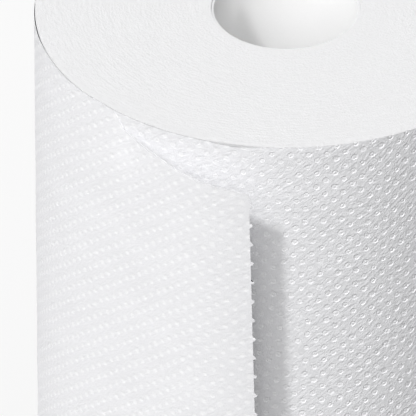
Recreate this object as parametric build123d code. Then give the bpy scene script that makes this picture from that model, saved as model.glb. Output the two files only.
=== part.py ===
# Paper towel roll standing on its end: one web of tissue wound on a card tube, its torn end loose.
# The roll's axis is Z, its lower end is at Z = 0, and -Y is the side where the loose end stands off.
import os
from math import cos, radians, sin, tan

from build123d import *

# Roll and card tube
roll_diameter = 140
roll_height = 279
core_bore = 40
core_wall = 0.8

# Wound web
sheet_thickness = 0.5
lap_slack = 0.3

# Loose end: the angle from +X where it leaves the roll, a flat stretch and the curl kept from winding
tail_leaves_at = -140
tail_rise_radius = 500
tail_rise_length = 31.5
tail_curl_radius = 38
tail_length = 56.7

# Ragged top of the loose end: where it tears away from the rim, a short shoulder, and the corner below
notch_at = 8.6
shoulder_run = 4
shoulder_drop = 4.5
corner_drop = 8.5

# Torn perforation at the end of the web
tear_slant = 1.4
tab_pitch = 6.3
tab_width = 1.4
tab_length = 0.8

# Spiral groove that the turns leave in both ends of the roll
groove_pitch = 5
groove_width = 0.6
groove_depth = 0.3

half_turn = 180
roll_radius = roll_diameter / 2
core_radius = core_bore / 2 + core_wall


def ray(angle):
    """The unit vector in plan at an angle from +X."""
    return Vector(cos(radians(angle)), sin(radians(angle)))


def spiral_halves(pitch):
    """The centre and the start angle of each half turn of a spiral made of two arcs a turn."""
    offset = ray(tail_leaves_at) * pitch / 4
    return [(-offset, tail_leaves_at), (offset, tail_leaves_at + half_turn)]


def torn_at(height):
    """How far along the loose end the tear lies at a height: it runs a little out of square."""
    return tail_length + (roll_height - height) * tan(radians(tear_slant))


# Wound block: the plan is a spiral of one turn, with a step as deep as a sheet and its slack
turn_step = sheet_thickness + lap_slack
(inner_centre, inner_start), (outer_centre, outer_start) = spiral_halves(turn_step)
block_edge = CenterArc(inner_centre, roll_radius - turn_step * 3 / 4, inner_start, half_turn)
block_edge += CenterArc(outer_centre, roll_radius - turn_step / 4, outer_start, half_turn)
block_edge += Line(ray(tail_leaves_at) * roll_radius, ray(tail_leaves_at) * (roll_radius - turn_step))
winding = extrude(make_face(block_edge) - Circle(core_radius), roll_height)

# Loose end: it runs on from the last turn, nearly flat at first and then curled
tail_reach = torn_at(0) + tab_length
rise_sweep = tail_rise_length / radians(tail_rise_radius)
rise_end = tail_leaves_at + rise_sweep
curl_sweep = (tail_reach - tail_rise_length) / radians(tail_curl_radius)
rise_centre = ray(tail_leaves_at) * (roll_radius - tail_rise_radius)
curl_centre = rise_centre + ray(rise_end) * (tail_rise_radius - tail_curl_radius)


def tail_face(depth):
    """One face of the loose end in plan, as deep below its outer face as given."""
    rise = CenterArc(rise_centre, tail_rise_radius - depth, tail_leaves_at, rise_sweep)
    curl = CenterArc(curl_centre, tail_curl_radius - depth, rise_end, curl_sweep)
    return rise, curl


outer_rise, outer_curl = tail_face(0)
inner_rise, inner_curl = tail_face(sheet_thickness)
tail_edge = outer_rise + outer_curl + inner_rise + inner_curl
tail_edge += Line(outer_rise @ 0, inner_rise @ 0)
tail_edge += Line(outer_curl @ 1, inner_curl @ 1)
tail = extrude(make_face(tail_edge), roll_height)

# The top of the loose end is torn down from the rim, by a steep shoulder and then a slope to its corner
chord = outer_curl @ 1 - outer_rise @ 0
shoulder = (notch_at + shoulder_run, -shoulder_drop)
ripped_edge = [(notch_at, 0), shoulder, (chord.length, -corner_drop), (chord.length, 0)]
ripped_plane = Plane(outer_rise @ 0, x_dir=chord, z_dir=chord.rotate(Axis.Z, -90))
ripped = extrude(ripped_plane * make_face(Polyline(ripped_edge, close=True)), tail_length, both=True)
tail -= Pos(0, 0, roll_height) * ripped

# Torn end: what lies past the tear is taken away, apart from a tab at each bridge of the perforation
tear_plane = Plane(outer_curl @ 1, x_dir=outer_curl % 1, z_dir=outer_curl @ 1 - inner_curl @ 1)
low, high = -tab_pitch, roll_height + tab_pitch
past_end = tail_reach + tab_length
waste_edge = [(torn_at(low), low), (past_end, low), (past_end, high), (torn_at(high), high)]
waste = make_face(Polyline(waste_edge, close=True))
tab_count = int(roll_height / tab_pitch)
first_tab = (roll_height - (tab_count - 1) * tab_pitch) / 2
for tab in range(tab_count):
    height = first_tab + tab * tab_pitch
    waste -= Pos(torn_at(height), height) * Rectangle(2 * tab_length, tab_width)
tail -= extrude(tear_plane * Pos(-tail_reach, 0) * waste, tail_curl_radius / 10, both=True)
winding += tail

# Turns seen on the ends: one spiral V groove, cut half a turn at a time
groove_turns = int((roll_radius - core_radius) / groove_pitch) - 1
groove_start = core_radius + groove_pitch / 2
for half, (centre, start) in enumerate(spiral_halves(groove_pitch)):
    profile = Sketch()
    for turn in range(groove_turns):
        radius = groove_start + (turn + half / 2) * groove_pitch
        left_lip = (radius - groove_width, roll_height + groove_depth)
        right_lip = (radius + groove_width, roll_height + groove_depth)
        root = (radius, roll_height - groove_depth)
        profile += make_face(Polyline(left_lip, right_lip, root, close=True))
    groove = Pos(centre) * Rot(Z=start) * revolve(Plane.XZ * profile, Axis.Z, half_turn)
    winding -= groove
    winding -= mirror(groove, Plane.XY.offset(roll_height / 2))

# Card tube in the middle of the winding
core_tube = extrude(Circle(core_radius) - Circle(core_bore / 2), roll_height)

os.makedirs("parts", exist_ok=True)
export_step(winding, "parts/paper_winding.step")
export_step(core_tube, "parts/core_tube.step")
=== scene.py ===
from math import atan2, ceil, cos, exp, floor, pi, radians, sin, tan

import bmesh
import bpy
from mathutils import Matrix, Vector, noise


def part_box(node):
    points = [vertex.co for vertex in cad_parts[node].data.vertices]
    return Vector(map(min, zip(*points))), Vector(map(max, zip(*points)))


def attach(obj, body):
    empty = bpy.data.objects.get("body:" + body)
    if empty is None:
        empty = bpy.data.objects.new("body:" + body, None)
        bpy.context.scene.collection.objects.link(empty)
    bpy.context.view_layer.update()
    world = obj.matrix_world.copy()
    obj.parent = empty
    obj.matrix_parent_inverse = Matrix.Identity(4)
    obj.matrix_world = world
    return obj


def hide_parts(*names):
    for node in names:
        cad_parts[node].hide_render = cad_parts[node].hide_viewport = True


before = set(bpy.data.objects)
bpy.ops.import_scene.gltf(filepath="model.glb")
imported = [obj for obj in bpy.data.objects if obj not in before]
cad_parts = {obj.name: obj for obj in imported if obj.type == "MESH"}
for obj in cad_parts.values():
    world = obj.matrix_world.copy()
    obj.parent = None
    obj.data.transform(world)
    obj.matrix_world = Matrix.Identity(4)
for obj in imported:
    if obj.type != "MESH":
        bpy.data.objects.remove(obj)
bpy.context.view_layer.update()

# Card tube
# The tube that the towel is wound on: plain white-lined card, wound and glued, then cut square with the
# roll. It sits tight inside the first turn, a hair short of the roll, and lines the hole through it.
mm = 0.001
tube_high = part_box("core_tube")[1]
roll_height = tube_high.z
tube_radius = tube_high.x
tube_wall = 0.8 * mm
tube_edge = 0.1 * mm
tube_sunk = 0.4 * mm
tube_facets = 144
lining_slope = 0.1


def hex_colour(code):
    """An sRGB hex colour as the linear colour that a shader takes."""
    channels = [int(code[at:at + 2], 16) / 255 for at in (1, 3, 5)]
    return [c / 12.92 if c < 0.04045 else ((c + 0.055) / 1.055) ** 2.4 for c in channels] + [1]


def add_node(tree, kind, inputs=(), **settings):
    """A node with its settings; each input takes a constant or the output that feeds it."""
    node = tree.nodes.new("ShaderNode" + kind)
    for name, value in settings.items():
        setattr(node, name, value)
    for name, value in dict(inputs).items():
        if isinstance(value, bpy.types.NodeSocket):
            tree.links.new(value, node.inputs[name])
        else:
            node.inputs[name].default_value = value
    return node


def new_material(name):
    """An empty material, its node tree and its output node."""
    material = bpy.data.materials.new(name)
    material.use_nodes = True
    material.node_tree.nodes.clear()
    return material, material.node_tree, add_node(material.node_tree, "OutputMaterial")


def add_piece(bm, name, material, node, crease=40):
    """A finished mesh as a piece of the roll, smooth apart from edges sharper than the crease angle."""
    mesh = bpy.data.meshes.new(name)
    bm.to_mesh(mesh)
    bm.free()
    mesh.shade_smooth()
    mesh.set_sharp_from_angle(angle=radians(crease))
    mesh.materials.append(material)
    piece = bpy.data.objects.new(name, mesh)
    bpy.context.collection.objects.link(piece)
    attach(piece, "root")
    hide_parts(node)
    return piece


def section_loop(bm, lower_half):
    """The closed section of a ring as high as the roll, from the corners of its lower half."""
    corners = lower_half + [(x, roll_height - z) for x, z in reversed(lower_half)]
    verts = [bm.verts.new((x, 0, z)) for x, z in corners]
    return [bm.edges.new((verts[at - 1], verts[at])) for at in range(len(verts))]


def spin_section(bm, facets):
    """Turns the section that is in the mesh all the way round the roll's axis."""
    bmesh.ops.spin(bm, geom=bm.verts[:] + bm.edges[:], cent=(0, 0, 0), axis=(0, 0, 1),
                   angle=2 * pi, steps=facets, use_merge=True)
    bmesh.ops.recalc_face_normals(bm, faces=bm.faces)


# White card: calendered liner, nearly smooth, with faint fibre cloud and a matt finish.
white_card, tree, output = new_material("white_card")
card_fibre = 0.5 * mm
place = add_node(tree, "TexCoord")
fibre = add_node(tree, "TexNoise", {"Vector": place.outputs["Object"], "Scale": 1 / card_fibre, "Detail": 3})
tint = add_node(tree, "MixRGB", {"Fac": fibre.outputs["Fac"], "Color1": hex_colour("#E5E5E5"),
                                 "Color2": hex_colour("#E9E9E9")})
relief = add_node(tree, "Bump", {"Height": fibre.outputs["Fac"], "Strength": 0.4, "Distance": 0.01 * mm})
card = add_node(tree, "BsdfPrincipled", {"Base Color": tint.outputs["Color"], "Roughness": 0.7,
                                         "Normal": relief.outputs["Normal"], "Specular IOR Level": 0.25})
tree.links.new(card.outputs["BSDF"], output.inputs["Surface"])

# Sawn paper: the fibre ends that the log saw leaves on tissue and card, matt and streaked along the turns.
# The streaks are the paper's own; its grey, well below the tissue's white, is painted shade, standing for
# the light lost between the cut turns and keeping the ends, which take more light from above, no lighter
# than the sides.
sawn_paper_and_shade, tree, output = new_material("sawn_paper_and_shade")
fibre_size = 0.5 * mm
streak_width = 0.7 * mm
streak_angle = radians(1.6)
place = add_node(tree, "TexCoord")
level = add_node(tree, "VectorMath", {0: place.outputs["Object"], 1: (1, 1, 0)}, operation="MULTIPLY")
reach = add_node(tree, "VectorMath", {0: level.outputs["Vector"]}, operation="LENGTH")
aim = add_node(tree, "VectorMath", {0: level.outputs["Vector"]}, operation="NORMALIZE")
around = add_node(tree, "VectorMath", {0: aim.outputs["Vector"], "Scale": 1 / streak_angle},
                  operation="SCALE")
across = add_node(tree, "Math", {0: reach.outputs["Value"], 1: streak_width}, operation="DIVIDE")
across = add_node(tree, "CombineXYZ", {"Z": across.outputs["Value"]})
polar = add_node(tree, "VectorMath", {0: around.outputs["Vector"], 1: across.outputs["Vector"]},
                 operation="ADD")
streak = add_node(tree, "TexNoise", {"Vector": polar.outputs["Vector"], "Scale": 1, "Detail": 2})
fibre = add_node(tree, "TexNoise", {"Vector": place.outputs["Object"], "Scale": 1 / fibre_size, "Detail": 3})
grain = add_node(tree, "Math", {0: streak.outputs["Fac"], 1: fibre.outputs["Fac"]}, operation="ADD")
# Painted shade: both greys lie well below the tissue's white.
tint = add_node(tree, "MixRGB", {"Fac": streak.outputs["Fac"], "Color1": hex_colour("#D6D6D7"),
                                 "Color2": hex_colour("#DEDEDF")})
relief = add_node(tree, "Bump", {"Height": grain.outputs["Value"], "Strength": 1, "Distance": 0.1 * mm})
paper = add_node(tree, "BsdfPrincipled", {"Base Color": tint.outputs["Color"], "Roughness": 1,
                                          "Normal": relief.outputs["Normal"], "Specular IOR Level": 0.1})
tree.links.new(paper.outputs["BSDF"], output.inputs["Surface"])

bm = bmesh.new()
section_loop(bm, [(tube_radius - tube_wall, tube_sunk), (tube_radius, tube_sunk)])
bmesh.ops.bevel(bm, geom=bm.verts[:], offset=tube_edge, affect="VERTICES", segments=2, profile=0.5,
                material=-1)
spin_section(bm, tube_facets)
card_tube = add_piece(bm, "card_tube", white_card, "core_tube")
card_tube.data.materials.append(sawn_paper_and_shade)
for face in card_tube.data.polygons:
    face.material_index = int(abs(face.normal.z) > lining_slope)

# Wound block
# Nearly a hundred turns of two-ply tissue, wound tight on the tube and cut through by the log saw, so that
# each end shows the cut edges of the turns as fine uneven ridges. The last turn lies over it.
roll_radius = 70 * mm
leaves_at = radians(-140)
turn_step = 0.4 * mm
turn_pitch = 0.5 * mm
sheet_thickness = 0.15 * mm
under_web = 0.05 * mm
rim_land = 1.2 * mm
rim_inset = 0.6 * mm
ridge_depth = 0.02 * mm
ridge_unevenness = 0.08 * mm
uneven_length = 1.4 * mm
turn_shift = 5.3
turn_groups = 3
block_facets = 160


def last_turn_radius(angle):
    """How far out the face of the last turn lies at an angle from +X: it gains a step over the turn."""
    return roll_radius - turn_step * (1 - (angle - leaves_at) % (2 * pi) / (2 * pi))


def ray(angle):
    """The level unit vector at an angle from +X."""
    return Vector((cos(angle), sin(angle), 0))


bm = bmesh.new()
block_radius = roll_radius - turn_step - sheet_thickness - under_web
sides = section_loop(bm, [(tube_radius, 0), (block_radius, 0), (block_radius, rim_land),
                          (block_radius - rim_inset, 2 * rim_land)])
ends = [edge for edge in sides if edge.verts[0].co.z == edge.verts[1].co.z]
turns = int((block_radius - tube_radius) / turn_pitch)
bmesh.ops.subdivide_edges(bm, edges=ends, cuts=2 * turns - 1)
spin_section(bm, block_facets)
for vert in bm.verts:
    reach = vert.co.xy.length
    step = round((reach - tube_radius) / (block_radius - tube_radius) * 2 * turns)
    spot = Vector((vert.co.x, vert.co.y, 0)) / uneven_length
    sunk = ridge_depth * (step % 2)
    sunk += ridge_unevenness * (1 + noise.noise(spot + Vector((0, 0, step // 2 * turn_shift)))) / 2
    sunk += ridge_unevenness * (1 + noise.noise(spot + Vector((0, 0, step / turn_groups)))) / 2
    vert.co.z += sunk if vert.co.z < roll_height / 2 else -sunk
    if step == 2 * turns:
        vert.co.xy *= (last_turn_radius(atan2(vert.co.y, vert.co.x)) - sheet_thickness - under_web) / reach
add_piece(bm, "wound_block", sawn_paper_and_shade, "paper_winding", crease=60)

# Last turn
# The outermost lap of the towel: two plies of creped tissue, embossed with a slanted lattice of small
# pressed dots whose middles spring back. It lies slack on the block, and its cut edge stands off in places.
rise_radius = 500 * mm
rise_length = 31.5 * mm
curl_radius = 38 * mm

# The steps from a dot to its neighbours are the columns of the lattice.
lattice = Matrix(((2.45 * mm, 2.66 * mm), (-2.26 * mm, 2.18 * mm)))
dot_points = 5
dot_rim = 0.95 * mm
dot_groove = 0.66 * mm
dot_depth = 0.22 * mm
dot_spring = 0.22 * mm
dot_scatter = 0.3 * mm
dot_seed = 3
size_chance = 0.25
depth_chance = 0.4
sprung_back = 0.65
# Painted highlight on the dots: a share of it everywhere, all of it where the relief has gone flat, and by
# ring from the middle out.
dot_highlight_base = 0.3
ring_highlight = (1, 0.55, 0)
under_end = 45 * mm
under_fade = 45 * mm
under_share = 0.8
web_wave = 0.1 * mm
wave_length = 12 * mm
edge_wave = 0.12 * mm
edge_length = 9 * mm
edge_depth = 3 * mm
lap_length = 2 * pi * (roll_radius - turn_step / 2)
same_point = 1e-6
cut_reach = 1e-7
sawn_slope = 0.9

# Where the top edge dips and where it stands off: the place along the web, the run and how far.
edge_dips = [(46 * mm, 7 * mm, 0.8 * mm), (18 * mm, 16 * mm, 0.25 * mm),
             (lap_length - 13 * mm, 14 * mm, 0.5 * mm)]
edge_flares = [(lap_length - 38 * mm, 11 * mm, 0.24 * mm), (30 * mm, 30 * mm, 0.1 * mm)]
flare_depth = 8 * mm

# Where the torn shoulder of the loose end, just past this lap, lies down on the roll.
settle_at = lap_length + 13 * mm
settle_run = 6 * mm
settle_height = 12 * mm
settle_depth = 1 * mm

noise.seed_set(dot_seed)
off_centre = ray(leaves_at) * turn_step / 4
inner_radius = roll_radius - turn_step * 3 / 4
outer_radius = roll_radius - turn_step / 4
rise_centre = ray(leaves_at) * (roll_radius - rise_radius)
rise_end = leaves_at + rise_length / rise_radius
curl_centre = rise_centre + ray(rise_end) * (rise_radius - curl_radius)
web_arcs = [(-off_centre, inner_radius, leaves_at, pi * inner_radius),
            (off_centre, outer_radius, leaves_at + pi, pi * outer_radius),
            (rise_centre, rise_radius, leaves_at, rise_length),
            (curl_centre, curl_radius, rise_end, pi * curl_radius)]


def wrap(flat):
    """Where a point of the flat web lies on the roll: x runs along the web, y up it, z off its face."""
    below = roll_height - flat.y
    out = sum(gap * exp(-((flat.x - place) / run) ** 2) for place, run, gap in edge_flares)
    out *= exp(-below / flare_depth)
    out -= settle_depth * exp(-((flat.x - settle_at) / settle_run) ** 2 - (below / settle_height) ** 2)
    dip = edge_wave * (1 + noise.noise(Vector((flat.x / edge_length, 0, 0))))
    dip += sum(drop * exp(-((flat.x - place) / run) ** 2) for place, run, drop in edge_dips)
    height = flat.y - dip * exp(-below / edge_depth)
    run = flat.x
    for centre, radius, start, length in web_arcs:
        if run <= length:
            break
        run -= length
    return centre + ray(start + run / radius) * (radius + flat.z + out) + Vector((0, 0, height))


def trim(bm, point, outward, remove=True):
    """Cuts a flat web along a line, and takes away what lies outward of it."""
    bmesh.ops.bisect_plane(bm, geom=bm.verts[:] + bm.edges[:] + bm.faces[:], dist=cut_reach,
                           plane_co=point, plane_no=outward, clear_outer=remove)


def gone_flat(along):
    """How far the dots have gone flat along the web: under the loose end, and on the way to it."""
    lain_on = min(1, max(0, 1 - (along - under_end) / under_fade))
    run_out = min(1, max(0, along / lap_length)) ** 2
    return max(under_share * lain_on, run_out)


def embossed_web(start, end):
    """A flat stretch of the web: five by five points a dot, as its rim, the groove in it and its middle."""
    to_lattice = lattice.inverted()
    corners = [to_lattice @ Vector((x, y)) for x in (start, end) for y in (0, roll_height)]
    first = [floor(min(corner[axis] for corner in corners)) - 1 for axis in (0, 1)]
    last = [ceil(max(corner[axis] for corner in corners)) + 1 for axis in (0, 1)]
    steps = [dot_points * (last[axis] - first[axis]) - 1 for axis in (0, 1)]
    bm = bmesh.new()
    bmesh.ops.create_grid(bm, x_segments=steps[0], y_segments=steps[1], size=0.5)
    painted_dot_highlight = bm.verts.layers.float.new("painted_dot_highlight")
    flat = bm.verts.layers.float.new("flat")
    for vert in bm.verts:
        place = [round((vert.co[axis] + 0.5) * steps[axis]) for axis in (0, 1)]
        dot = lattice @ Vector([first[axis] + place[axis] // dot_points for axis in (0, 1)])
        aside = Vector([place[axis] % dot_points - dot_points // 2 for axis in (0, 1)])
        ring = round(max(abs(aside.x), abs(aside.y)))
        chance = noise.noise_vector(dot.to_3d() / dot_rim)
        spread = (0, dot_groove, dot_rim)[ring] * (1 + size_chance * chance.z)
        depth = (dot_depth - dot_spring, dot_depth, 0)[ring] * (1 + depth_chance * chance.x)
        point = dot + chance.xy * dot_scatter + (lattice @ aside).normalized() * spread
        vert[flat] = gone_flat(dot.x)
        # Painted highlight: marks the dot's middle and groove to be painted paler, for the light the dots
        # catch.
        vert[painted_dot_highlight] = ring_highlight[ring] * (dot_highlight_base + (1 - dot_highlight_base) * vert[flat])
        depth *= 1 - sprung_back * vert[flat]
        vert.co = (point.x, point.y, web_wave * noise.noise(dot.to_3d() / wave_length) - depth)
    trim(bm, (start, 0, 0), (-1, 0, 0))
    trim(bm, (end, 0, 0), (1, 0, 0))
    trim(bm, (0, 0, 0), (0, -1, 0))
    trim(bm, (0, roll_height, 0), (0, 1, 0))
    return bm


def keep_flat_map(bm):
    """Keeps each corner's flat place, in metres, as the UV map that the crepe follows."""
    layer = bm.loops.layers.uv.new("web")
    for face in bm.faces:
        for loop in face.loops:
            loop[layer].uv = loop.vert.co.xy


def add_lips(bm, runs_on=()):
    """Turns the cut edges of a stretch of web in by its thickness, apart from where the web runs on."""
    rim = [edge for edge in bm.edges if edge.is_boundary
           and not any(all(abs(vert.co.x - stop) < same_point for vert in edge.verts) for stop in runs_on)]
    for vert in bmesh.ops.extrude_edge_only(bm, edges=rim)["geom"]:
        if isinstance(vert, bmesh.types.BMVert):
            vert.co.z -= sheet_thickness


def add_web_piece(bm, name):
    """Wraps a finished flat stretch of web on the roll as a piece; its edges at the roll's ends are sawn."""
    for vert in bm.verts:
        vert.co = wrap(vert.co)
    piece = add_piece(bm, name, embossed_tissue, "paper_winding", crease=25)
    piece.data.materials.append(sawn_paper_and_shade)
    for face in piece.data.polygons:
        face.material_index = int(abs(face.normal.z) > sawn_slope)
    piece.modifiers.new("flat_lands", "WEIGHTED_NORMAL").keep_sharp = True


# Embossed tissue: bleached fibre, creped across the web and wrinkled on the slant, with a painted highlight:
# the dots' middles and grooves are painted paler, most where their relief has gone flat.
embossed_tissue, tree, output = new_material("embossed_tissue")
crepe_size = (0.35 * mm, 0.6 * mm, 1)
wrinkle_size = (1.8 * mm, 0.8 * mm, 1)
wrinkle_slant = (0, 0, radians(42))
wrinkle_share = 1.5
crepe_start = 2
crepe_end = 0.6
place = add_node(tree, "UVMap", uv_map="web")
crepe = add_node(tree, "Mapping", {"Vector": place.outputs["UV"], "Scale": crepe_size},
                 vector_type="TEXTURE")
crepe = add_node(tree, "TexNoise", {"Vector": crepe.outputs["Vector"], "Scale": 1, "Detail": 2})
wrinkle = add_node(tree, "Mapping", {"Vector": place.outputs["UV"], "Scale": wrinkle_size,
                                     "Rotation": wrinkle_slant}, vector_type="TEXTURE")
wrinkle = add_node(tree, "TexNoise", {"Vector": wrinkle.outputs["Vector"], "Scale": 1, "Detail": 2})
grain = add_node(tree, "Math", {0: wrinkle.outputs["Fac"], 1: wrinkle_share, 2: crepe.outputs["Fac"]},
                 operation="MULTIPLY_ADD")
smoothed = add_node(tree, "Attribute", attribute_name="flat")
easing = add_node(tree, "MapRange", {"Value": smoothed.outputs["Fac"], "To Min": crepe_start,
                                     "To Max": crepe_end})
grain = add_node(tree, "Math", {0: grain.outputs["Value"], 1: easing.outputs["Result"]},
                 operation="MULTIPLY")
tint = add_node(tree, "MixRGB", {"Fac": crepe.outputs["Fac"], "Color1": hex_colour("#ECECEE"),
                                 "Color2": hex_colour("#F2F2F4")})
# Painted highlight: the dots are painted paler where the web marks them.
dots = add_node(tree, "Attribute", attribute_name="painted_dot_highlight")
tint = add_node(tree, "MixRGB", {"Fac": dots.outputs["Fac"], "Color1": tint.outputs["Color"],
                                 "Color2": hex_colour("#F8F8F9")})
relief = add_node(tree, "Bump", {"Height": grain.outputs["Value"], "Strength": 1, "Distance": 0.1 * mm})
tissue = add_node(tree, "BsdfPrincipled", {"Base Color": tint.outputs["Color"], "Roughness": 1,
                                           "Normal": relief.outputs["Normal"], "Specular IOR Level": 0.1})
tree.links.new(tissue.outputs["BSDF"], output.inputs["Surface"])

lap_pieces = 3
for number in range(lap_pieces):
    start = lap_length * number / lap_pieces
    end = lap_length * (number + 1) / lap_pieces
    bm = embossed_web(start, end)
    keep_flat_map(bm)
    add_lips(bm, (start, end))
    add_web_piece(bm, f"last_turn_{number + 1}")

# Loose end
# The free end of the same web. Its torn shoulder lies on the roll, then it lifts off, flat at first and
# curled as it was wound. It ends at a torn perforation, where each bridge between slits leaves a small tab.
tail_length = 56.7 * mm
tear_slant = radians(1.4)
tab_pitch = 6.3 * mm
tab_width = 1.1 * mm
tab_length = 0.8 * mm
fray = 0.1 * mm
fray_stretch = 3
notch_at = 8.6 * mm
shoulder_run = 4 * mm
shoulder_drop = 4.5 * mm
corner_drop = 8.5 * mm

tear_start = lap_length + tail_length
notch = Vector((lap_length + notch_at, roll_height, 0))
shoulder = notch + Vector((shoulder_run, -shoulder_drop, 0))
corner = Vector((tear_start, roll_height - corner_drop, 0))


def above(line_start, line_end):
    """The direction in the flat web that points up from a line."""
    along = line_end - line_start
    return Vector((-along.y, along.x, 0))


def past_tear(vert):
    """How far a point lies past the line of the tear; less than nothing on the sheet itself."""
    return vert.co.x - tear_start - (roll_height - vert.co.y) * tan(tear_slant)


bm = embossed_web(lap_length, tear_start + roll_height * tan(tear_slant))
trim(bm, (tear_start, roll_height, 0), (cos(tear_slant), sin(tear_slant), 0))
trim(bm, shoulder, above(notch, shoulder), remove=False)
trim(bm, shoulder, above(shoulder, corner), remove=False)
ripped = [face for face in bm.faces
          if all((face.calc_center_median() - shoulder).dot(up) > 0
                 for up in (above(notch, shoulder), above(shoulder, corner)))]
bmesh.ops.delete(bm, geom=ripped, context="FACES")
torn = [edge for edge in bm.edges
        if edge.is_boundary and all(past_tear(vert) > -same_point for vert in edge.verts)]
bmesh.ops.subdivide_edges(bm, edges=torn, cuts=2)
for vert in bm.verts:
    if vert.is_boundary and past_tear(vert) > -same_point:
        from_tab = abs((roll_height - vert.co.y + tab_pitch / 2) % tab_pitch - tab_pitch / 2)
        vert.co.x += tab_length * max(0, 1 - (2 * from_tab / tab_width) ** 4)
        vert.co.x += fray * noise.noise(Vector((0, vert.co.y / fray / fray_stretch, 0)))
keep_flat_map(bm)
outer_face = bm.faces[:]
add_lips(bm)
inner_face = bmesh.ops.duplicate(bm, geom=outer_face)["geom"]
bmesh.ops.reverse_faces(bm, faces=[part for part in inner_face if isinstance(part, bmesh.types.BMFace)])
bmesh.ops.translate(bm, verts=[part for part in inner_face if isinstance(part, bmesh.types.BMVert)],
                    vec=(0, 0, -sheet_thickness))
bmesh.ops.remove_doubles(bm, verts=[vert for vert in bm.verts if vert.is_boundary], dist=same_point)
add_web_piece(bm, "loose_end")

# Studio
# A pale paper floor that runs on past the view, under three lamps and a little even light all round.
floor_size = 20
glow_share = 0.7
even_light = 0.285
bm = bmesh.new()
bmesh.ops.create_grid(bm, x_segments=8, y_segments=8, size=floor_size)
mesh = bpy.data.meshes.new("studio_floor")
bm.to_mesh(mesh)
bm.free()
studio_floor = bpy.data.objects.new("studio_floor", mesh)
bpy.context.collection.objects.link(studio_floor)

# Backdrop paper: an even white to the eye, with a trace of shade, and a plain grey where it lights the roll.
backdrop, tree, output = new_material("backdrop_paper")
path = add_node(tree, "LightPath")
lit = add_node(tree, "BsdfDiffuse", {"Color": hex_colour("#868686")})
shade = add_node(tree, "BsdfDiffuse", {"Color": hex_colour("#FDFDFD")})
glow = add_node(tree, "Emission", {"Color": hex_colour("#EEEEEE"), "Strength": 1})
white = add_node(tree, "MixShader", {"Fac": glow_share, 1: shade.outputs["BSDF"],
                                     2: glow.outputs["Emission"]})
paper = add_node(tree, "MixShader", {"Fac": path.outputs["Is Camera Ray"], 1: lit.outputs["BSDF"],
                                     2: white.outputs["Shader"]})
tree.links.new(paper.outputs["Shader"], output.inputs["Surface"])
mesh.materials.append(backdrop)

world = bpy.data.worlds.new("studio")
bpy.context.scene.world = world
world.use_nodes = True
tree = world.node_tree
tree.nodes.clear()
path = add_node(tree, "LightPath")
even = add_node(tree, "Background", {"Color": hex_colour("#FFFFFF"), "Strength": even_light})
white = add_node(tree, "Background", {"Color": hex_colour("#F9F9F9"), "Strength": 1})
mixed = add_node(tree, "MixShader", {"Fac": path.outputs["Is Camera Ray"], 1: even.outputs["Background"],
                                     2: white.outputs["Background"]})
add_node(tree, "OutputWorld", {"Surface": mixed.outputs["Shader"]})

# Lamps: a crisp key from the front left, and two broad soft ones, low at the left and higher in front.
# Each has its azimuth from the front, its elevation, its width in degrees and its strength.
lamps = {"key": (-43, 53, 6, 1.95), "left_soft": (-112, 25, 60, 0.96), "front_soft": (-2, 46, 60, 1.4)}
for name, (azimuth, elevation, softness, strength) in lamps.items():
    light = bpy.data.lights.new(name, "SUN")
    light.energy = strength
    light.angle = radians(softness)
    lamp = bpy.data.objects.new(name, light)
    lamp.rotation_euler = (radians(90 - elevation), 0, radians(azimuth))
    bpy.context.collection.objects.link(lamp)

# Camera: a long lens that looks down on the rim, with the foot of the roll out of the picture.
looks_down = 34.26
camera = bpy.data.cameras.new("camera")
camera.sensor_width = 36
camera.lens = 1117.6
camera_object = bpy.data.objects.new("camera", camera)
camera_object.location = (-0.0216, -3, roll_height + 1.976)
camera_object.rotation_euler = (radians(90 - looks_down), 0, 0)
bpy.context.collection.objects.link(camera_object)
bpy.context.scene.camera = camera_object
bpy.context.scene.view_settings.view_transform = "Standard"
